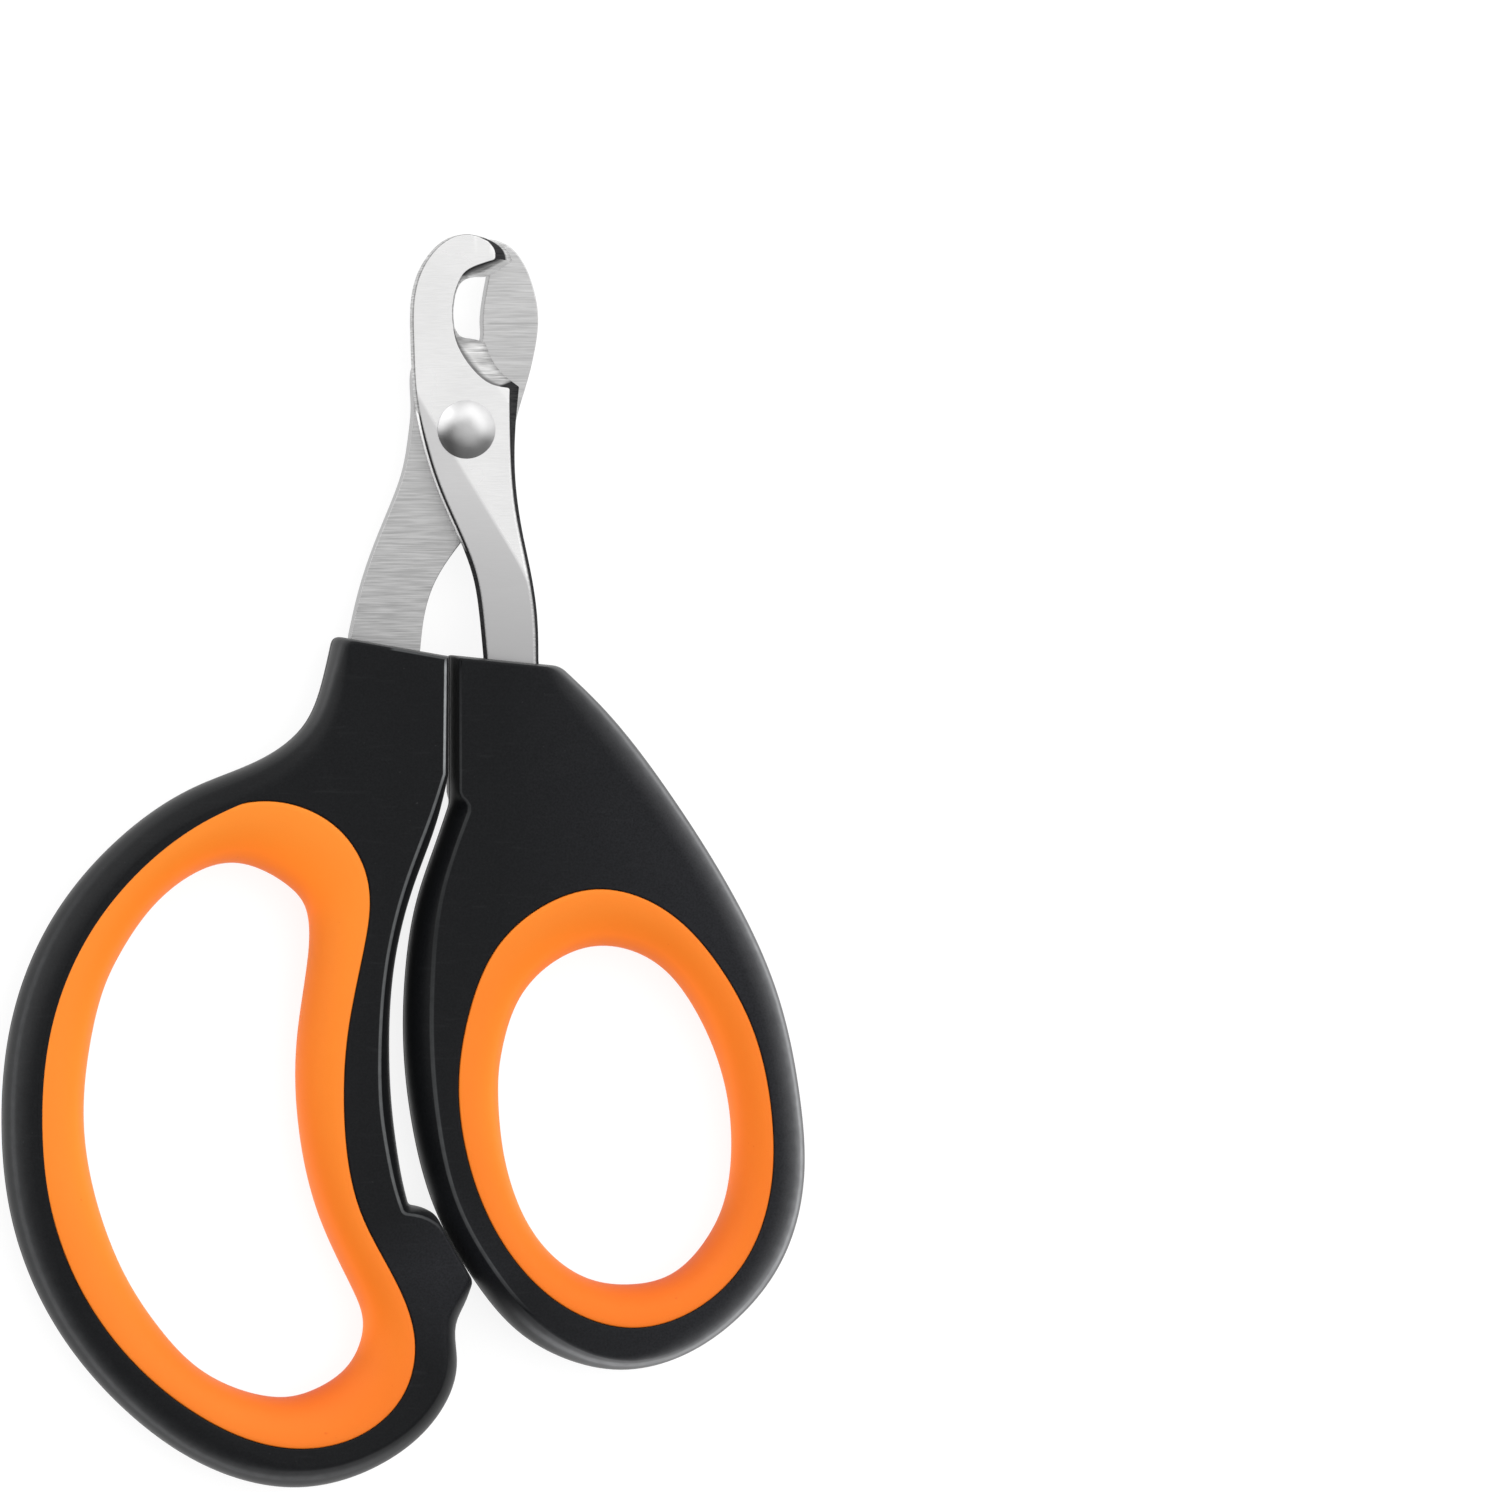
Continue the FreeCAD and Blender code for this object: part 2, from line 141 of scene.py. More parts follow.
THUMB_RUNS = [
    [(-1.35, -22.5, 0.3), (-1.35, -36.2, 0.35)],
    [(-1.35, -36.2, 0.35), (-1.35, -36.7, 0.55), (-1.38, -37.2, 1.25), (-1.5, -37.7, 1.5)],
    [(-1.5, -37.7, 1.5), (-2.7, -41.2, 1.4), (-4.6, -46.8, 1.7), (-5.8, -54.0, 2.1),
     (-6.0, -61.5, 2.2), (-5.1, -69.5, 2.0), (-2.65, -78.2, 1.7), (1.15, -84.95, 1.7),
     (5.6, -90.1, 1.7), (10.8, -93.0, 1.3), (16.0, -93.95, 1.1), (21.8, -92.7, 1.4),
     (27.4, -89.1, 1.8), (32.1, -83.2, 2.1), (34.4, -74.9, 2.1), (34.0, -66.8, 2.1),
     (31.6, -56.0, 2.0), (27.2, -46.4, 2.0), (20.8, -36.3, 2.0), (13.8, -27.5, 1.9),
     (9.7, -23.6, 1.2)],
    [(9.7, -23.6, 0.3), (-1.35, -22.5, 0.3)],
]

# The grips' lips, each point with the throat's beside it.
FINGER_RIBS = [
    (-20.3, -37.1, -22.6, -43.3), (-27.3, -38.9, -27.3, -44.4), (-33.3, -43.2, -31.5, -47.8),
    (-38.2, -49.3, -34.8, -52.6), (-41.6, -56.8, -36.9, -57.8), (-43.2, -65.0, -38.2, -65.5),
    (-43.0, -73.4, -37.9, -73.0), (-40.0, -84.1, -35.0, -82.6), (-34.0, -92.9, -30.8, -89.5),
    (-27.2, -98.4, -26.1, -94.1), (-18.6, -101.6, -19.6, -96.5), (-10.9, -100.3, -15.0, -95.8),
    (-6.6, -96.2, -11.5, -93.3), (-5.5, -91.2, -10.1, -89.8), (-7.3, -85.3, -11.1, -85.9),
    (-10.9, -78.3, -14.4, -78.8), (-12.6, -69.2, -16.6, -69.4), (-12.2, -59.8, -16.7, -60.3),
    (-10.6, -51.6, -15.6, -52.2), (-10.2, -45.4, -15.8, -48.0), (-12.9, -40.2, -17.6, -45.6),
]

THUMB_RIBS = [
    (12.7, -45.9, 13.4, -51.6), (7.2, -47.7, 9.1, -53.2), (2.7, -51.8, 5.6, -56.9),
    (0.1, -57.7, 3.9, -61.9), (-1.1, -65.6, 3.5, -66.8), (-0.3, -72.3, 4.1, -72.6),
    (1.9, -78.6, 6.0, -78.4), (5.8, -84.4, 9.2, -82.7), (10.9, -88.3, 12.9, -84.9),
    (16.6, -89.7, 16.8, -85.4), (22.6, -88.0, 21.2, -84.3), (27.6, -83.4, 24.8, -80.6),
    (30.4, -76.0, 26.8, -75.6), (30.5, -68.2, 27.1, -69.4), (28.5, -59.6, 25.5, -62.2),
    (25.0, -53.3, 22.7, -56.7), (19.6, -47.9, 18.7, -52.8),
]

# The hooked blade's edges at its rear face and, named _FRONT, at its front face.
RIGHT_EDGE = [(7.4, -23.1), (7.35, -18.6), (6.6, -13.4), (5.6, -8.0), (5.2, -3.5),
              (5.3, 0.5), (5.65, 4.3)]
RIGHT_EDGE_FRONT = [(7.4, -23.1), (7.2, -18.6), (6.35, -13.4), (5.2, -8.0), (4.7, -3.5),
                    (4.5, 0.5), (4.4, 4.2)]
NOTCH_FOOT = [(5.65, 4.3), (4.4, 5.25), (3.4, 6.3), (2.7, 7.5), (2.25, 8.7)]
NOTCH_FOOT_FRONT = [(4.4, 4.2), (2.5, 4.6), (1.2, 5.5), (0.1, 6.75)]
NOTCH_HEEL = [(2.25, 8.7), (0.9, 9.1), (-0.3, 9.35), (-0.9, 10.3)]
NOTCH_HEEL_FRONT = [(0.1, 6.75), (-0.65, 8.0), (-1.1, 9.2), (-1.3, 10.3)]
NOTCH_SIDE = [(-0.9, 10.3), (-1.0, 11.8), (-0.8, 13.4)]
NOTCH_SIDE_FRONT = [(-1.3, 10.3), (-1.4, 11.8), (-1.2, 13.4)]
NOTCH_ROOF = [(-0.8, 13.4), (-0.2, 14.7), (0.9, 15.2), (2.5, 15.3), (3.7, 16.0), (4.95, 16.85)]
NOTCH_ROOF_FRONT = [(-1.2, 13.4), (-0.8, 14.6), (-0.1, 15.7), (1.2, 16.4), (2.95, 16.95)]
HOOK_TIP = [(4.95, 16.85), (4.75, 17.5), (4.1, 18.25), (3.3, 18.7)]
HOOK_TIP_FRONT = [(2.95, 16.95), (2.9, 17.9), (2.2, 18.85)]
HOOK_BACK = [(3.3, 18.7), (1.8, 19.3), (0.1, 19.5), (-1.7, 19.05), (-3.5, 17.5), (-4.75, 15.3),
             (-5.35, 12.4), (-5.35, 9.0), (-5.0, 3.1), (-4.2, -1.0), (-2.6, -6.0),
             (-0.6, -10.5), (1.0, -14.8), (1.6, -18.4), (2.0, -22.5)]
HOOK_BACK_FRONT = [(2.2, 18.85), (1.2, 19.3)] + HOOK_BACK[2:]
HOOKED_TANG = [(2.0, -22.5), (3.2, -40.0), (9.0, -40.0), (7.4, -23.1)]

# The blunt blade's edges, the same at both faces.
JAW_BACK = [(-4.3, -21.8), (-3.9, -18.6), (-2.9, -15.4), (-0.9, -12.2), (1.9, -8.5),
            (4.2, -3.8), (5.5, 1.5), (6.6, 5.2), (7.35, 8.5), (7.6, 11.2), (7.1, 14.2),
            (5.9, 17.0), (4.4, 18.5), (2.7, 19.05)]
JAW_END = [(2.7, 19.05), (2.3, 17.9)]
JAW_EDGE = [(2.3, 17.9), (2.65, 16.2), (2.4, 14.2), (2.1, 12.4), (1.97, 10.6), (1.95, 9.0),
            (1.2, 7.8), (-0.6, 7.3), (-3.6, 7.3)]
JAW_FRONT = [(-3.6, 7.3), (-4.7, 6.6), (-5.1, 5.0), (-5.0, 2.1), (-5.2, -0.2), (-5.85, -4.0),
             (-7.3, -8.0), (-9.0, -12.2), (-10.3, -16.2), (-11.3, -20.5)]
BLUNT_TANG = [(-11.3, -20.5), (-12.3, -36.0), (-6.3, -36.5), (-4.3, -21.8)]


# ---- Curves ----

def bend_vectors(chords, values, closed):
    """Second derivatives of the cubic spline through the values."""
    n = len(values)
    system = np.zeros((n, n))
    right = np.zeros(values.shape)
    for i in range(n):
        if not closed and i in (0, n - 1):
            system[i, i] = 1
            continue
        before = chords[i - 1]
        after = chords[i % len(chords)]
        system[i, i - 1] += before / 6
        system[i, i] += (before + after) / 3
        system[i, (i + 1) % n] += after / 6
        right[i] = ((values[(i + 1) % n] - values[i]) / after
                    - (values[i] - values[i - 1]) / before)
    return np.linalg.solve(system, right)


def spline(points, count, closed=False):
    """count points of the smooth curve through the given ones, evenly spaced along it."""
    values = np.array(points, float)
    ring = np.vstack([values, values[:1]]) if closed else values
    chords = np.linalg.norm(np.diff(ring[:, :2], axis=0), axis=1)
    if len(values) == 2:
        return values[0] + np.linspace(0, 1, count)[:, None] * (values[1] - values[0])
    bends = bend_vectors(chords, values, closed)
    bends = np.vstack([bends, bends[:1]]) if closed else bends
    dense = []
    for i, chord in enumerate(chords):
        u = np.linspace(0, 1, 24, endpoint=False)[:, None]
        dense.append(ring[i] * (1 - u) + ring[i + 1] * u + chord ** 2 / 6 * (
            ((1 - u) ** 3 - (1 - u)) * bends[i] + (u ** 3 - u) * bends[i + 1]))
    dense = np.vstack(dense + [ring[-1:]])
    return spaced(dense, count + 1)[:-1] if closed else spaced(dense, count)


def spaced(path, count):
    """count points of a polyline, evenly spaced along it."""
    steps = np.linalg.norm(np.diff(path[:, :2], axis=0), axis=1)
    along = np.concatenate([[0], np.cumsum(steps)])
    wanted = np.linspace(0, along[-1], count)
    return np.column_stack([np.interp(wanted, along, column) for column in path.T])


def length(path):
    """The length of a polyline."""
    return np.linalg.norm(np.diff(path[:, :2], axis=0), axis=1).sum()


def left_of(tangents):
    """Unit vectors to the left of the given ones."""
    unit = tangents / np.linalg.norm(tangents, axis=1)[:, None]
    return np.column_stack([-unit[:, 1], unit[:, 0]])


def inward(loop):
    """Unit vectors into a counter-clockwise closed loop."""
    return left_of(np.roll(loop, -1, axis=0) - np.roll(loop, 1, axis=0))


def grown(loop, distance):
    """A closed loop moved outwards, by one distance or by one for each point."""
    return loop - inward(loop) * np.reshape(distance, (-1, 1))


def run_normals(run):
    """The left normals of a run at its own points."""
    points = np.array(run, float)[:, :2]
    dense = spline(points, 800)
    tangents = np.gradient(dense, axis=0)
    nearest = [np.argmin(((dense - point) ** 2).sum(axis=1)) for point in points]
    return left_of(tangents[nearest])


def corner_shift(normal_a, inset_a, normal_b, inset_b):
    """The shift of a corner that moves both its edges in by their insets."""
    cross = normal_a[0] * normal_b[1] - normal_a[1] * normal_b[0]
    if abs(cross) < SMALL_TURN:
        return (normal_a + normal_b) * (inset_a + inset_b) / 4
    return np.array([inset_a * normal_b[1] - inset_b * normal_a[1],
                     inset_b * normal_a[0] - inset_a * normal_b[0]]) / cross


def inset_runs(runs):
    """The runs of the edge round the flat face."""
    normals = [run_normals(run) for run in runs]
    moved = []
    for i, run in enumerate(runs):
        points = np.array(run, float)
        shifts = normals[i] * points[:, 2:]
        before = (i - 1) % len(runs)
        after = (i + 1) % len(runs)
        shifts[0] = corner_shift(normals[before][-1], runs[before][-1][2],
                                 normals[i][0], run[0][2])
        shifts[-1] = corner_shift(normals[i][-1], run[-1][2],
                                  normals[after][0], runs[after][0][2])
        moved.append(points[:, :2] + shifts)
    return moved


def turn(path_a, path_b):
    """How sharply an outline turns where path_a meets path_b, in degrees."""
    a = path_a[-1] - path_a[-2]
    b = path_b[1] - path_b[0]
    return math.degrees(abs(math.atan2(a[0] * b[1] - a[1] * b[0], a @ b)))


def sharp_corners(runs):
    """Whether the outline turns a corner where each run starts."""
    paths = [spline([point[:2] for point in run], FINE) for run in runs]
    return [turn(paths[i - 1], paths[i]) > CORNER_TURN for i in range(len(paths))]


def rounded_loop(runs, counts, corners, sharp):
    """One closed loop through the runs, with the sharp corners rounded off."""
    paths = [spline([point[:2] for point in run], FINE) for run in runs]
    trimmed = []
    for i, path in enumerate(paths):
        after = (i + 1) % len(paths)
        along = np.concatenate([[0], np.cumsum(np.linalg.norm(np.diff(path, axis=0), axis=1))])
        most = along[-1] * ROUND_SHARE
        start = min(corners[i], most) if sharp[i] else 0
        stop = along[-1] - (min(corners[after], most) if sharp[after] else 0)
        wanted = np.linspace(start, stop, counts[i])
        trimmed.append(np.column_stack([np.interp(wanted, along, c) for c in path.T]))
    loop = []
    for i, path in enumerate(trimmed):
        if sharp[i]:
            ends = trimmed[i - 1][-1], paths[i][0], path[0]
            for t in (0.2, 0.4, 0.6, 0.8):
                loop.append((1 - t) ** 2 * ends[0] + 2 * t * (1 - t) * ends[1] + t * t * ends[2])
        loop.extend(path if sharp[(i + 1) % len(paths)] else path[:-1])
    return np.array(loop)


def run_counts(runs, pitch):
    """How many points each run gets, a pitch apart."""
    lengths = [length(spline([point[:2] for point in run], 100)) for run in runs]
    return [max(3, round(run_length / pitch)) for run_length in lengths]


def circle(radius, count=64, centre=(0, 0)):
    """Points of a circle, counter-clockwise."""
    angles = np.arange(count) * 2 * math.pi / count
    return np.column_stack([np.cos(angles), np.sin(angles)]) * radius + np.array(centre)


# ---- Meshes ----

def new_mesh():
    """An empty mesh whose points carry two values for its material."""
    bm = bmesh.new()
    bm.verts.layers.float.new("wall")
    bm.verts.layers.float.new("shade")
    return bm


def row(bm, loop, z, wall=0.0, shade=0.0):
    """A ring of vertices. z is in mm from the plane where the blades slide."""
    x, y, z0 = HINGE
    heights = np.broadcast_to(z, len(loop))
    shades = np.broadcast_to(shade, len(loop))
    ring = [bm.verts.new(((px + x) * MM, (py + y) * MM, (pz + z0) * MM))
            for (px, py), pz in zip(loop, heights)]
    for vert, value in zip(ring, shades):
        vert[bm.verts.layers.float["wall"]] = wall
        vert[bm.verts.layers.float["shade"]] = value
    return ring


def skin(bm, rows, closed=False):
    """Quads between rings of vertices."""
    pairs = list(zip(rows, rows[1:])) + ([(rows[-1], rows[0])] if closed else [])
    for low, high in pairs:
        for i in range(len(low)):
            bm.faces.new((low[i - 1], low[i], high[i], high[i - 1]))


def fill(bm, *rings):
    """A flat face whose outline is the first ring, with the others as its holes."""
    edges = [bm.edges.get((ring[i - 1], ring[i])) for ring in rings for i in range(len(ring))]
    bmesh.ops.triangle_fill(bm, edges=edges, use_beauty=True, use_dissolve=False)


def piece(name, bm, body, node, material):
    """Finish a mesh, and stand it in for its CAD node."""
    bmesh.ops.recalc_face_normals(bm, faces=bm.faces)
    for edge in bm.edges:
        if len(edge.link_faces) == 2 and edge.calc_face_angle() > SHARP:
            edge.smooth = False
    mesh = bpy.data.meshes.new(name)
    bm.to_mesh(mesh)
    bm.free()
    mesh.polygons.foreach_set("use_smooth", [True] * len(mesh.polygons))
    mesh.materials.append(material)
    obj = bpy.data.objects.new(name, mesh)
    bpy.context.scene.collection.objects.link(obj)
    weighted = obj.modifiers.new("flat_faces_stay_flat", "WEIGHTED_NORMAL")
    weighted.weight = 100
    weighted.keep_sharp = True
    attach(obj, body)
    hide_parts(node)
    return obj


def edge_rows(bm, wall, corner, face, wall_z, face_z, steps=3, shade=0.0, fading=0.0):
    """Rows round an edge, from just past the wall to the flat face.

    shade is painted on all of them but the last, and fading dies away towards it."""
    rows = []
    shade = np.array(shade, float)
    for k in range(1, steps + 1):
        t = k / steps
        loop = (1 - t) ** 2 * wall + 2 * t * (1 - t) * corner + t * t * face
        z = (1 - t) ** 2 * wall_z + (1 - (1 - t) ** 2) * face_z
        painted = shade * (k < steps) + fading * (1 - t) ** 2
        rows.append(row(bm, loop, z, wall=1 - t, shade=painted))
    return rows


# ---- Handles ----

def make_shell(name, runs, corners, ribs, side, body, material):
    """One half of a handle. side is 1 for the front half and -1 for the rear half."""
    counts = [max(count, 5) for count in run_counts(runs, PITCH)]
    sharp = sharp_corners(runs)
    widest = rounded_loop(runs, counts, corners, sharp)
    edge = rounded_loop(inset_runs(runs), counts, corners, sharp)
    ease = face_edge(widest, 1 if body == "thumb_side" else -1)
    bm = new_mesh()

    # painted highlight on the outer side, carried as negative shade
    outer = -painted_outer_highlight(widest, body)
    rows = [row(bm, grown(widest, -SEAM), 0, wall=1)]
    full = 1 - math.cos(CROWN_ANGLE)
    crown_end = HALF - ease * 0.8
    for k in range(WALL_ROWS):
        height = SEAM + (crown_end - SEAM) * k / (WALL_ROWS - 1)
        angle = np.arcsin(math.sin(CROWN_ANGLE) * height / HALF)
        loop = widest + (edge - widest) * ((1 - np.cos(angle)) / full)[:, None]
        rows.append(row(bm, loop, side * height, wall=1, shade=outer * band_share(k)))
    # painted highlight along the face's edge beside the other handle
    painted_light = [edge_highlight_at(x, y, body) for x, y in widest]
    rows += edge_rows(bm, loop, edge, grown(edge, -ease), side * crown_end, side * HALF, 5, painted_light,
                      fading=outer * 0.4)

    rim = spline([rib[:2] for rib in ribs], rib_count(ribs), closed=True)
    hole = grown(rim, FIT)
    groove = grown(rim, TONGUE_W + FIT)
    groove_z = side * (TONGUE_H + FIT)
    hole_rows = [row(bm, groove, 0), row(bm, groove, groove_z), row(bm, hole, groove_z),
                 row(bm, hole, side * (HALF - RIM_EDGE))]
    hole_rows += edge_rows(bm, hole, hole, grown(hole, RIM_EDGE),
                           side * (HALF - RIM_EDGE), side * HALF)
    skin(bm, rows)
    skin(bm, hole_rows)
    fill(bm, rows[-1], hole_rows[-1])
    fill(bm, rows[0], hole_rows[0])
    return piece(name, bm, body, name.replace("_cover", "_shell"), material)


def band_share(k):
    """How much of the outer painted highlight the wall's row k shows: most just below the face.
    """
    climb = min(max((k - 4) / 3, 0), 1)
    return 0.12 + 0.38 * climb + math.exp(-((k - BAND_ROW) / BAND_WIDTH) ** 2)


def softened(values):
    """Values round a loop, evened out with their neighbours."""
    for _ in range(SOFTENING):
        values = (np.roll(values, 1) + values + np.roll(values, -1)) / 3
    return values


def painted_outer_highlight(loop, body):
    """Painted highlight on a handle's outer side: more towards its foot, most on the thumb's."""
    outward = -inward(loop)
    away = 1 if body == "thumb_side" else -1
    share = np.clip((outward @ np.array([0.8 * away, -0.6]) + 0.2) / 0.7, 0, 1)
    low = np.clip(0.6 - 0.5 * outward[:, 1], 0, 1)
    return softened(share * (0.4 + 0.6 * low if body == "thumb_side" else 0.02 + 0.17 * low))


def edge_highlight_at(x, y, body):
    """How much highlight is painted on an edge: most where the two handles' necks meet."""
    if body == "finger_side" and x > -8:
        return float(np.interp(y, *FINGER_EDGE_HIGHLIGHT))
    if body == "thumb_side" and x < 6 and y < -24:
        return float(np.interp(y, *THUMB_EDGE_HIGHLIGHT))
    return 0.0


def face_edge(loop, outer_side):
    """How far the face's edge is rounded: softly outside, crisply towards the other handle."""
    outward = -inward(loop)[:, 0] * outer_side
    steps = np.clip((outward + 0.1) / 0.6, 0, 1)
    share = steps * steps * (3 - 2 * steps)
    below_neck = loop[:, 1] < loop[:, 1].max() - 1.5
    return FACE_EDGE + SOFT_EDGE * softened(share * below_neck)


def rib_count(ribs):
    """How many points a grip's outline gets."""
    rim = spline([rib[:2] for rib in ribs], 200, closed=True)
    return round(length(rim) / PITCH)


def make_grip(name, ribs, body, material):
    """A ring with a flat lip at each face, rolled in to its throat, and its tongue outside."""
    both = spline(ribs, rib_count(ribs), closed=True)
    rim = both[:, :2]
    throat = both[:, 2:]
    tongue = grown(rim, TONGUE_W)
    bm = new_mesh()
    rows = []
    top = HALF - LIP_DROP
    outside = [(tongue, -TONGUE_H), (tongue, TONGUE_H), (rim, TONGUE_H), (rim, top - RIM_EDGE),
               (grown(rim, -RIM_EDGE * 0.4), top - RIM_EDGE * 0.3)]
    lit = np.clip(0.7 + inward(rim) @ np.array([0.35, -1.1]), -0.7, 1)
    inside = []
    for k in range(ROLL_ROWS):
        angle = math.radians(90 - ROLL_STEP * k)
        share = LIP_SHARE * (1 - math.cos(angle))
        inside.append((throat + (rim - throat) * share, top * math.sin(angle)))
    lip = grown(rim, -RIM_EDGE)
    upper = outside[2:] + [(lip, top)] + inside
    for loop, z in upper:
        rows.append(row(bm, loop, z, shade=lit * (1 - z / top)))
    rows.append(row(bm, throat, 0, shade=lit))
    for loop, z in reversed(upper):
        rows.append(row(bm, loop, -z, shade=lit * (1 - z / top)))
    rows.append(row(bm, tongue, -TONGUE_H))
    rows.append(row(bm, tongue, TONGUE_H))
    skin(bm, rows, closed=True)
    return piece(name, bm, body, name.replace("_ring", "_grip"), material)


# ---- Blades ----

def make_blade(name, low_runs, high_runs, low_z, high_z, holes, body, node, material,
               shade_at=None, ease_at=None, facet=False):
    """A plate between a low and a high outline, with its edges eased and round holes."""
    counts = run_counts(low_runs, BLADE_PITCH)
    sharp = sharp_corners(low_runs)
    low = rounded_loop(low_runs, counts, [BACK_CORNER] * len(counts), sharp)
    high = rounded_loop(high_runs, counts, [FRONT_CORNER] * len(counts), sharp)
    bm = new_mesh()
    ease = np.array([ease_at(x, y) if ease_at else BLADE_EDGE for x, y in high])
    drop = facet_drop(high) if facet else np.zeros(len(high))
    top = high_z - ease - drop

    def shades(level):
        return [shade_at(x, y, level) for x, y in high] if shade_at else 0.0

    edge_in, edge_up = BACK_EDGE
    rows = [row(bm, grown(low, -edge_in), low_z, 1, shades(0))]
    for level in (0.02, 0.3, 0.42, 0.75):
        loop = low + (high - low) * level
        z = low_z + edge_up + (top - low_z - edge_up) * level
        rows.append(row(bm, loop, z, 1, shades(level)))
    high_wall = high + (low - high) * (ease / BLADE)[:, None]
    rows.append(row(bm, high_wall, top, 1, shades(0.95)))
    rows += edge_rows(bm, high_wall, high, grown(high, -ease), top, high_z - drop,
                      shade=shades(1))
    skin(bm, rows)
    bores = []
    for x, y, radius in holes:
        loop = circle(radius, centre=(x, y))
        hole_drop = facet_drop(loop) if facet else 0.0
        bores.append([row(bm, loop, low_z), row(bm, loop, high_z - hole_drop)])
        skin(bm, bores[-1])
    if facet:
        fill_facets(bm, rows[-1], [bore[1] for bore in bores])
    else:
        fill(bm, rows[-1], *[bore[1] for bore in bores])
    fill(bm, rows[0], *[bore[0] for bore in bores])
    return piece(name, bm, body, node, material)


def beyond_ridge(points):
    """How far points lie past the facet's ridge, on the facet's side."""
    along = (FACET_END - FACET_START) / np.linalg.norm(FACET_END - FACET_START)
    across = np.array([along[1], -along[0]])
    return (points - FACET_START) @ across


def facet_drop(loop):
    """How far the ground facet lies below the flat of the face."""
    return np.maximum(beyond_ridge(loop), 0) * FACET_SLOPE


def fill_facets(bm, ring, bores):
    """Fill the hooked blade's front face on each side of the facet's ridge."""
    flat = np.array([vert.co[:2] for vert in ring]) / MM - HINGE[:2]
    start = int(np.argmin(((flat - FACET_START) ** 2).sum(axis=1)))
    end = int(np.argmin(((flat - FACET_END) ** 2).sum(axis=1)))
    ridge = bm.edges.new((ring[start], ring[end]))
    ridge.smooth = False
    for side in (walk(ring, start, end), walk(ring, end, start)):
        edges = [bm.edges.get(pair) for pair in zip(side, side[1:])] + [ridge]
        middle = np.mean([vert.co[:2] for vert in side], axis=0) / MM - HINGE[:2]
        lower = beyond_ridge(middle) > 0
        for bore in bores:
            centre = np.mean([vert.co[:2] for vert in bore], axis=0) / MM - HINGE[:2]
            if (beyond_ridge(centre) > 0) == lower:
                edges += [bm.edges.get((bore[i - 1], bore[i])) for i in range(len(bore))]
        bmesh.ops.triangle_fill(bm, edges=edges, use_beauty=True, use_dissolve=False)


def walk(ring, start, end):
    """The vertices of a ring from start to end, round past its last one where needed."""
    return ring[start:end + 1] if start <= end else ring[start:] + ring[:end + 1]


def tang_runs(corners):
    """The three straight sides of a tang, from its four corners."""
    return [corners[i:i + 2] for i in range(3)]


def make_front_blade(material):
    """The hooked blade, whose notch holds the claw."""
    low = [RIGHT_EDGE, NOTCH_FOOT, NOTCH_HEEL, NOTCH_SIDE, NOTCH_ROOF, HOOK_TIP, HOOK_BACK]
    high = [RIGHT_EDGE_FRONT, NOTCH_FOOT_FRONT, NOTCH_HEEL_FRONT, NOTCH_SIDE_FRONT,
            NOTCH_ROOF_FRONT, HOOK_TIP_FRONT, HOOK_BACK_FRONT]
    tang = tang_runs(HOOKED_TANG)
    return make_blade("hooked_blade", low + tang, high + tang, BLADE_GAP, BLADE_GAP + BLADE,
                      [(0, 0, SHANK_R + TURNING_FIT), (*THUMB_PEG, PEG_HOLE_R)], "thumb_side",
                      "front_blade", material,
                      shade_at=hooked_shade, ease_at=hooked_ease, facet=True)


def hooked_ease(x, y):
    """The hooked blade's edge is broken more widely along its dark sides."""
    if x > 3 and y < 4:
        return float(np.interp(y, [-22, -13, -4, 3, 4], [0.7, 0.65, 0.45, 0.2, BLADE_EDGE]))
    if x < 3 and y < 4:
        return float(np.interp(y, [-2, 4], [0.32, BLADE_EDGE]))
    return BLADE_EDGE


def hooked_shade(x, y, level):
    """How a wall is painted: 1 is painted shade, 0 plain ground steel and -1 a painted highlight.

    level runs from 0 at the low outline to 1 at the face."""
    if x > 1.4 and y > 17.0:
        return 1.0 if level > 0.35 else 0.0
    if x > -0.6 and 15.3 < y < 17.5:
        return float(np.interp(level, [0.0, 0.5, 0.8], [-0.7, -0.4, 1.0]))
    if x > 3.4 and y < 4.4:
        return 1.0
    if x > -1.4 and 4 < y < 10:
        return 0.12 if level < 0.9 else 0.8
    if x < 3 and y < 1.5:
        return 1.0 if level > 0.9 else float(np.interp(y, [-12.2, -10.8], [1.0, -1.0]))
    return 0.6 if level > 0.9 else 0.15


def make_rear_blade(material):
    """The blunt blade behind it, cut straight through."""
    runs = [JAW_BACK, JAW_END, JAW_EDGE, JAW_FRONT] + tang_runs(BLUNT_TANG)
    return make_blade("blunt_blade", runs, runs, -BLADE_GAP - BLADE, -BLADE_GAP,
                      [(0, 0, SHANK_R + PRESSED_FIT), (*FINGER_PEG, PEG_HOLE_R)], "finger_side",
                      "rear_blade", material)


# ---- Pivot ----

def make_turned(name, profile, body, node, material, closed=False):
    """A turned piece about the hinge axis from (radius, z) points."""
    bm = new_mesh()
    rows = [row(bm, circle(radius, 96), z) for radius, z in profile]
    skin(bm, rows, closed)
    if not closed:
        bm.faces.new(rows[0])
        bm.faces.new(rows[-1])
    return piece(name, bm, body, node, material)


def dome(radius, height, z, direction, steps=14):
    """Points of a cap from its rim to near its pole."""
    sphere = (radius ** 2 + height ** 2) / (2 * height)
    reach = math.asin(radius / sphere)
    points = []
    for k in range(steps):
        angle = reach * (1 - k / steps) + 0.01
        points.append((sphere * math.sin(angle),
                       z + direction * (height - sphere * (1 - math.cos(angle)))))
    return points


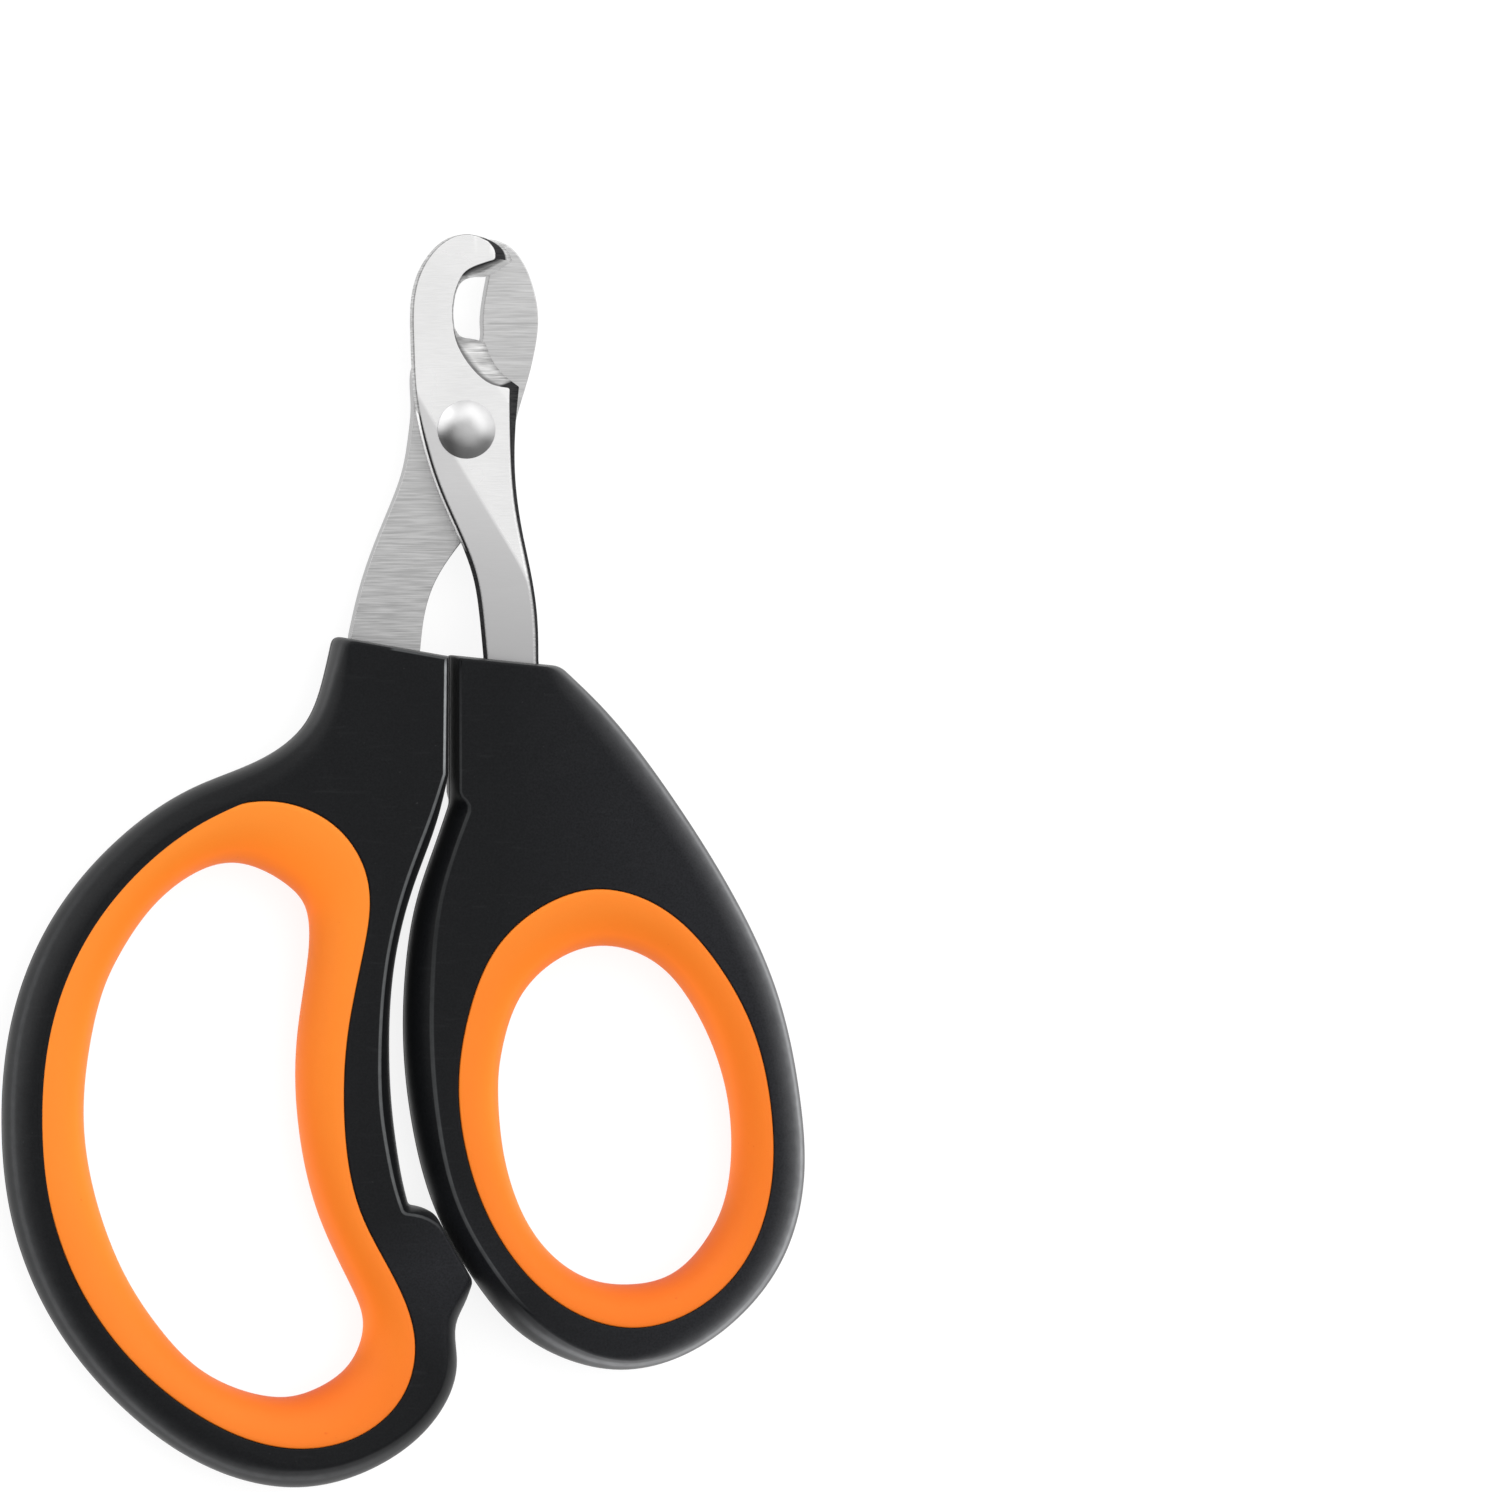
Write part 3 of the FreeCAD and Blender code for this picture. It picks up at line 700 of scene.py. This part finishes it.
def make_rivet(material):
    """A domed head on the hooked blade, a shank, and a clinched tail below the washer."""
    head_z = 2 * BLADE_GAP + BLADE
    tail_z = -BLADE_GAP - BLADE - 0.5
    head = [(2.7, head_z), (2.86, head_z + 0.05)] + dome(2.88, 1.05, head_z + 0.1, 1)
    tail = dome(1.95, 0.8, tail_z - 0.1, -1)[::-1] + [(1.9, tail_z)]
    profile = tail + [(SHANK_R, tail_z), (SHANK_R, head_z)] + head
    return make_turned("rivet", profile, "finger_side", "pivot_rivet", material)


def make_washer(material):
    """A flat ring with eased edges, under the rivet's tail."""
    top = -BLADE_GAP - BLADE
    profile = [(1.61, top), (3.0, top), (3.05, top - 0.06), (3.05, top - 0.3),
               (2.98, top - 0.42), (2.86, top - 0.5), (1.61, top - 0.5)]
    return make_turned("washer", profile, "finger_side", "rivet_washer",
                       material, closed=True)


# ---- Materials ----

class Finish:
    """A node material, with short calls to add and join its nodes."""

    def __init__(self, name):
        self.material = bpy.data.materials.new(name)
        self.material.use_nodes = True
        self.tree = self.material.node_tree
        self.shader = self.tree.nodes["Principled BSDF"]
        self.place = self.add("ShaderNodeTexCoord").outputs["Object"]

    def add(self, kind, **settings):
        node = self.tree.nodes.new(kind)
        for key, value in settings.items():
            setattr(node, key, value)
        return node

    def join(self, source, socket):
        self.tree.links.new(source, socket)

    def stretched(self, scale, turn_z=0.0):
        """The object's own coordinates, turned and scaled, so that a pattern runs along it."""
        mapping = self.add("ShaderNodeMapping")
        mapping.inputs["Scale"].default_value = scale
        mapping.inputs["Rotation"].default_value = (0, 0, math.radians(turn_z))
        self.join(self.place, mapping.inputs["Vector"])
        return mapping.outputs["Vector"]

    def plan(self):
        """The x and y of a point, in mm from the hinge axis."""
        moved = self.add("ShaderNodeVectorMath", operation="MULTIPLY_ADD")
        moved.inputs[1].default_value = (1 / MM, 1 / MM, 1 / MM)
        moved.inputs[2].default_value = -HINGE
        self.join(self.place, moved.inputs[0])
        parts = self.add("ShaderNodeSeparateXYZ")
        self.join(moved.outputs["Vector"], parts.inputs["Vector"])
        return parts.outputs["X"], parts.outputs["Y"]

    def painted(self, name):
        """A value that the mesh's points carry."""
        return self.add("ShaderNodeAttribute", attribute_name=name).outputs["Fac"]

    def noise(self, scale, detail=3.0, vector=None):
        node = self.add("ShaderNodeTexNoise")
        node.inputs["Scale"].default_value = scale
        node.inputs["Detail"].default_value = detail
        self.join(vector or self.place, node.inputs["Vector"])
        return node.outputs["Fac"]

    def spread(self, value, low, high, start=0.3, end=0.7):
        """Map a value from start..end to low..high."""
        node = self.add("ShaderNodeMapRange")
        node.inputs["From Min"].default_value = start
        node.inputs["From Max"].default_value = end
        node.inputs["To Min"].default_value = low
        node.inputs["To Max"].default_value = high
        self.join(value, node.inputs["Value"])
        return node.outputs["Result"]

    def blend(self, factor, colour_a, colour_b):
        """colour_a where the factor is 0, turning to colour_b where it is 1."""
        node = self.add("ShaderNodeMix", data_type="RGBA")
        for socket, colour in ((node.inputs[6], colour_a), (node.inputs[7], colour_b)):
            if isinstance(colour, tuple):
                socket.default_value = (*colour, 1)
            else:
                self.join(colour, socket)
        self.join(factor, node.inputs[0])
        return node.outputs[2]

    def maths(self, operation, a, b=0):
        node = self.add("ShaderNodeMath", operation=operation)
        for socket, value in zip(node.inputs, (a, b)):
            if isinstance(value, (int, float)):
                socket.default_value = value
            else:
                self.join(value, socket)
        return node.outputs[0]

    def bump(self, height, depth, strength=1.0, under=None):
        node = self.add("ShaderNodeBump")
        node.inputs["Strength"].default_value = strength
        node.inputs["Distance"].default_value = depth
        self.join(height, node.inputs["Height"])
        if under:
            self.join(under, node.inputs["Normal"])
        return node.outputs["Normal"]

    def wear(self, colour=None, roughness=None, normal=None, **constants):
        """Give the shader its textures and its constant values."""
        for source, name in ((colour, "Base Color"), (roughness, "Roughness"),
                             (normal, "Normal")):
            if source is not None:
                self.join(source, self.shader.inputs[name])
        for name, value in constants.items():
            self.shader.inputs[name.replace("_", " ")].default_value = value
        return self.material


def handle_plastic():
    """Near-black moulded plastic, spark-eroded, with its edges rubbed smoother by handling."""
    f = Finish("handle_plastic")
    grain = f.noise(5200, 2.0)
    cloud = f.noise(60, 4.0)
    scuffs = f.noise(1, 2.0, f.stretched((260, 2600, 260), 35))
    dust = f.spread(f.noise(2300, 1.0), 0, 1, 0.77, 0.84)
    tone = f.blend(f.spread(grain, 0, 1), (0.0028, 0.0031, 0.0037), (0.0056, 0.0060, 0.0068))
    tone = f.blend(f.spread(scuffs, 0, 0.35, 0.62, 0.8), tone, (0.013, 0.0135, 0.0145))
    tone = f.blend(f.maths("MULTIPLY", dust, 0.4), tone, (0.035, 0.035, 0.037))
    patchy = f.spread(f.noise(900, 3.0), 0.75, 1)
    # painted highlight on the edges beside the gap, where the shade is positive
    edge_highlight = f.maths("MULTIPLY", f.spread(f.painted("shade"), 0, 1, 0, 1), patchy)
    # painted highlight on the outer sides, where the shade is negative
    outer = f.maths("MULTIPLY", f.spread(f.painted("shade"), 1, 0, -1, 0), patchy)
    x, y = f.plan()
    # painted sheen: lighter towards +x on the thumb's face and round the stop between the handles
    from_stop = f.maths("ADD", f.maths("ABSOLUTE", f.maths("ADD", x, 2.5)),
                        f.maths("ABSOLUTE", f.maths("ADD", y, 84)))
    painted_sheen = f.maths("MAXIMUM", f.spread(x, 0, 1, 3, 24), f.spread(from_stop, 1, 0, 1, 11))
    painted_sheen = f.maths("MULTIPLY", painted_sheen, f.spread(grain, 0.3, 0.9))
    tone = f.blend(painted_sheen, tone, (0.0125, 0.0130, 0.0155))
    tone = f.blend(edge_highlight, tone, (0.24, 0.25, 0.255))
    tone = f.blend(outer, tone, (0.26, 0.264, 0.273))
    rubbed = f.maths("MULTIPLY", f.painted("wall"), -0.05)
    roughness = f.maths("ADD", f.spread(cloud, 0.40, 0.48), rubbed)
    normal = f.bump(grain, 0.00002, 0.3)
    return f.wear(tone, roughness, normal, Specular_IOR_Level=0.11, Sheen_Weight=0.05,
                  Sheen_Roughness=0.35)


def grip_rubber():
    """Orange soft-touch elastomer, fine matt grain, painted shade redder towards the lower right.
    """
    f = Finish("grip_rubber")
    cloud = f.noise(45, 4.0)
    grain = f.noise(6500, 2.0)
    specks = f.spread(f.noise(1500, 1.0), 0, 1, 0.78, 0.84)
    x, y = f.plan()
    # painted shade: the colour turns redder and darker towards the lower right
    across = f.maths("SUBTRACT", f.maths("MULTIPLY", x, 0.45), f.maths("MULTIPLY", y, 0.85))
    across = f.spread(across, 0, 1, 34, 84)
    painted_light = f.blend(across, (0.68, 0.190, 0.017), (0.62, 0.138, 0.0115))
    painted_light_alt = f.blend(across, (0.66, 0.172, 0.015), (0.605, 0.124, 0.009))
    colour = f.blend(f.spread(cloud, 0, 1), painted_light, painted_light_alt)
    # painted light on the roll's lit walls and painted shade on its lower ones
    colour = f.blend(f.spread(f.painted("shade"), 0, 1, 0, 0.35), colour, (0.93, 0.226, 0.021))
    colour = f.blend(f.spread(f.painted("shade"), 1, 0, -0.35, 0), colour, (0.54, 0.088, 0.005))
    colour = f.blend(f.maths("MULTIPLY", specks, 0.4), colour, (0.50, 0.07, 0.006))
    roughness = f.spread(cloud, 0.48, 0.58)
    normal = f.bump(grain, 0.000012, 0.3)
    return f.wear(colour, roughness, normal, Specular_IOR_Level=0.16,
                  Subsurface_Weight=0.04, Subsurface_Scale=0.001)


def grind_lines(f, coarse, rise=1.0):
    """Uneven lines across a blade, from 0 to 1, and rare deep scratches among them.

    rise is how fast the lines change with height, as against along the blade."""
    fine = f.noise(1, 4.0, f.stretched((300, 7000, 7000 * rise)))
    broad = f.noise(1, 3.0, f.stretched((90, coarse, coarse * rise)))
    lines = f.maths("ADD", f.maths("MULTIPLY", fine, 0.87), f.maths("MULTIPLY", broad, 0.13))
    deep = f.noise(1, 2.0, f.stretched((110, 3600, 3600 * rise), 1.5))
    return f.spread(lines, 0, 1, 0.36, 0.64), f.spread(deep, 0, 1, 0.69, 0.78)


def facet_mask(f, x, y):
    """1 on the hooked blade's ground facet, painted as a reflection, and 0 on the rest of its
    face.
    """
    along = (FACET_END - FACET_START) / np.linalg.norm(FACET_END - FACET_START)
    start = FACET_START[0] * along[1] - FACET_START[1] * along[0]
    past = f.maths("SUBTRACT", f.maths("MULTIPLY", x, float(along[1])),
                   f.maths("MULTIPLY", y, float(along[0])))
    past = f.maths("SUBTRACT", past, float(start))
    curl = f.maths("MAXIMUM", f.maths("SUBTRACT", CURL_START, y), 0)
    near = f.maths("MINIMUM", curl, CURL_REACH)
    bent = f.maths("MULTIPLY", f.maths("POWER", near, 2), CURL_BEND)
    straight = f.maths("MULTIPLY", f.maths("SUBTRACT", curl, near), CURL_SLOPE)
    past = f.maths("SUBTRACT", f.maths("SUBTRACT", past, bent), straight)
    return f.spread(past, 0, 1, -0.12, 0.22)


def front_blade_steel():
    """Satin polished steel with a ground facet at its lower left, and painted light and shade."""
    f = Finish("front_blade_steel")
    x, y = f.plan()
    facet = facet_mask(f, x, y)
    lower = f.spread(y, 0, 1, -5, -22)
    polish = f.noise(140, 3.0)
    hairs = f.noise(1, 3.0, f.stretched((700, 9000, 700), -58))
    lines, deep = grind_lines(f, 1500, 0.05)
    bright = f.blend(f.spread(polish, 0, 1), (0.845, 0.847, 0.85), (0.88, 0.882, 0.884))
    # painted reflection: the facet is painted darker than the flat, and darker still towards the
    # tang
    ground = f.blend(lower, (0.66, 0.66, 0.665), (0.47, 0.47, 0.475))
    face = f.blend(facet, bright, ground)
    face = f.blend(f.spread(hairs, 0, 0.10), face, (0.42, 0.42, 0.42))
    wall = f.blend(lines, (0.36, 0.36, 0.36), (0.74, 0.74, 0.74))
    wall = f.blend(f.maths("MULTIPLY", deep, 0.85), wall, (0.12, 0.12, 0.12))
    side = f.spread(f.painted("wall"), 0, 1, 0.05, 0.35)
    # painted shade on the walls where the shade is positive
    dark = f.maths("MULTIPLY", f.spread(f.painted("shade"), 0, 1, 0, 1), side)
    dark = f.maths("MULTIPLY", dark, f.spread(lines, 0.95, 1, 0, 1))
    # painted highlight on the walls where the shade is negative
    pale = f.maths("MULTIPLY", f.spread(f.painted("shade"), 1, 0, -1, 0), side)
    colour = f.blend(side, face, wall)
    colour = f.blend(dark, colour, (0.012, 0.012, 0.013))
    colour = f.blend(pale, colour, (0.95, 0.95, 0.95))
    roughness = f.maths("ADD", f.spread(polish, 0.22, 0.30), f.maths("MULTIPLY", facet, 0.06))
    roughness = f.maths("ADD", roughness, f.maths("MULTIPLY", side, 0.18))
    metal = f.maths("SUBTRACT", 1, f.maths("MULTIPLY", f.maths("ADD", dark, pale), 0.95))
    f.join(metal, f.shader.inputs["Metallic"])
    normal = f.bump(hairs, 0.000003, 0.25)
    normal = f.bump(f.maths("MULTIPLY", lines, f.painted("wall")), 0.00002, 0.4, normal)
    return f.wear(colour, roughness, normal, Specular_IOR_Level=0.0)


def rear_blade_steel():
    """Steel ground crosswise, with lines of uneven depth and a score, darker towards the handle.
    """
    f = Finish("rear_blade_steel")
    x, y = f.plan()
    lines, deep = grind_lines(f, 2200)
    lower = f.spread(y, 0, 1, 14, -20)
    light = f.blend(lower, (0.64, 0.641, 0.643), (0.53, 0.531, 0.533))
    dark = f.blend(lower, (0.50, 0.501, 0.503), (0.355, 0.356, 0.358))
    colour = f.blend(lines, dark, light)
    colour = f.blend(f.maths("MULTIPLY", deep, 0.6), colour, (0.24, 0.24, 0.24))
    groove = f.spread(f.maths("ABSOLUTE", f.maths("SUBTRACT", y, SCORE_Y)), 1, 0, 0.02, 0.11)
    inside = f.spread(x, 0, 1, 2.0, 2.8)
    groove = f.maths("MULTIPLY", f.maths("MULTIPLY", groove, inside),
                     f.spread(lines, 0.3, 1, 0, 1))
    colour = f.blend(f.maths("MULTIPLY", groove, 0.55), colour, (0.18, 0.18, 0.18))
    # painted shade: the walls are painted darker
    colour = f.blend(f.maths("MULTIPLY", f.painted("wall"), 0.5), colour, (0.22, 0.22, 0.22))
    roughness = f.spread(lines, 0.30, 0.42, 0, 1)
    normal = f.bump(lines, 0.000008, 0.4)
    return f.wear(colour, roughness, normal, Metallic=1.0)


def pivot_steel():
    """Polished steel with fine turning marks round the hinge axis."""
    f = Finish("pivot_steel")
    x, y = f.plan()
    radius = f.maths("SQRT", f.maths("ADD", f.maths("POWER", x, 2), f.maths("POWER", y, 2)))
    rings = f.add("ShaderNodeTexNoise", noise_dimensions="1D")
    rings.inputs["Scale"].default_value = 9.0
    rings.inputs["Detail"].default_value = 3.0
    f.join(radius, rings.inputs["W"])
    turned = rings.outputs["Fac"]
    polish = f.noise(900, 3.0)
    colour = f.blend(f.spread(polish, 0, 1), (0.485, 0.486, 0.49), (0.53, 0.531, 0.535))
    roughness = f.maths("ADD", f.spread(polish, 0.27, 0.31), f.spread(turned, 0, 0.05))
    normal = f.bump(turned, 0.000006, 0.2)
    return f.wear(colour, roughness, normal, Metallic=1.0)


def paper():
    """A pale table lit softly from within, so that shadows on it stay light."""
    f = Finish("pale_floor")
    cloud = f.noise(8, 3.0)
    colour = f.blend(f.spread(cloud, 0, 1), (0.15, 0.15, 0.15), (0.17, 0.17, 0.17))
    return f.wear(colour, Roughness=0.7, Specular_IOR_Level=0.2,
                  Emission_Color=(1, 1, 1, 1), Emission_Strength=0.86)


# ---- Stage ----

def make_floor():
    """A plain square, just below the trimmer."""
    bm = bmesh.new()
    bm.faces.new([bm.verts.new((x * FLOOR_SIZE, y * FLOOR_SIZE, -FLOOR_DROP))
                  for x, y in ((-1, -1), (1, -1), (1, 1), (-1, 1))])
    mesh = bpy.data.meshes.new("floor")
    bm.to_mesh(mesh)
    bm.free()
    mesh.materials.append(paper())
    floor = bpy.data.objects.new("floor", mesh)
    bpy.context.scene.collection.objects.link(floor)


def add_softbox(name, place, aim, size, power):
    """A soft lamp that gloss doesn't mirror."""
    data = bpy.data.lights.new(name, "AREA")
    data.shape = "RECTANGLE"
    data.size, data.size_y = size
    data.energy = power
    lamp = bpy.data.objects.new(name, data)
    lamp.visible_glossy = False
    lamp.location = place
    lamp.rotation_euler = (Vector(aim) - Vector(place)).to_track_quat("-Z", "Y").to_euler()
    bpy.context.scene.collection.objects.link(lamp)


def light_scene():
    """Two softboxes shape the shadows. The studio round them is what the gloss mirrors."""
    add_softbox("key", (0.35, -0.15, 0.95), (0, 0, 0), (1.0, 0.8), 5.5)
    add_softbox("fill", (-0.7, -0.3, 0.6), (0, 0, 0), (0.5, 0.9), 1.5)
    world = bpy.data.worlds.new("studio")
    bpy.context.scene.world = world
    world.use_nodes = True
    tree = world.node_tree
    direction = tree.nodes.new("ShaderNodeTexCoord").outputs["Generated"]
    total = None
    for toward, start, end, strength in STUDIO:
        dot = tree.nodes.new("ShaderNodeVectorMath")
        dot.operation = "DOT_PRODUCT"
        dot.inputs[1].default_value = Vector(toward).normalized()
        tree.links.new(direction, dot.inputs[0])
        glow = tree.nodes.new("ShaderNodeMapRange")
        glow.interpolation_type = "SMOOTHSTEP"
        glow.inputs["From Min"].default_value = math.cos(math.radians(start))
        glow.inputs["From Max"].default_value = math.cos(math.radians(end))
        glow.inputs["To Max"].default_value = strength
        tree.links.new(dot.outputs["Value"], glow.inputs["Value"])
        if total is None:
            total = glow.outputs["Result"]
            continue
        add = tree.nodes.new("ShaderNodeMath")
        tree.links.new(total, add.inputs[0])
        tree.links.new(glow.outputs["Result"], add.inputs[1])
        total = add.outputs[0]
    background = tree.nodes["Background"]
    background.inputs["Color"].default_value = (1.0, 0.995, 0.99, 1)
    tree.links.new(total, background.inputs["Strength"])


def add_camera():
    """A long lens from nearly overhead, with the trimmer at the left as in the photograph."""
    data = bpy.data.cameras.new("camera")
    data.sensor_width = 36
    data.lens = data.sensor_width * DISTANCE / FRAME_WIDTH
    data.clip_end = 20
    camera = bpy.data.objects.new("camera", data)
    aim = Vector((HINGE[0] + FRAME_CENTRE[0], HINGE[1] + FRAME_CENTRE[1], HINGE[2])) * MM
    camera.location = aim + Vector((-math.sin(TILT), 0, math.cos(TILT))) * DISTANCE
    camera.rotation_euler = (0, -TILT, 0)
    bpy.context.scene.collection.objects.link(camera)
    bpy.context.scene.camera = camera


# ---- Make the trimmer ----

plastic = handle_plastic()
rubber = grip_rubber()
for half, side in (("front", 1), ("rear", -1)):
    make_shell(f"thumb_handle_{half}_cover", THUMB_RUNS, THUMB_CORNERS, THUMB_RIBS, side,
               "thumb_side", plastic)
    make_shell(f"finger_handle_{half}_cover", FINGER_RUNS, FINGER_CORNERS, FINGER_RIBS, side,
               "finger_side", plastic)
make_grip("thumb_ring", THUMB_RIBS, "thumb_side", rubber)
make_grip("finger_ring", FINGER_RIBS, "finger_side", rubber)
make_front_blade(front_blade_steel())
make_rear_blade(rear_blade_steel())
bright = pivot_steel()
make_rivet(bright)
make_washer(bright)

make_floor()
light_scene()
add_camera()
bpy.context.scene.view_settings.view_transform = "Standard"
bpy.context.scene.view_settings.look = "None"
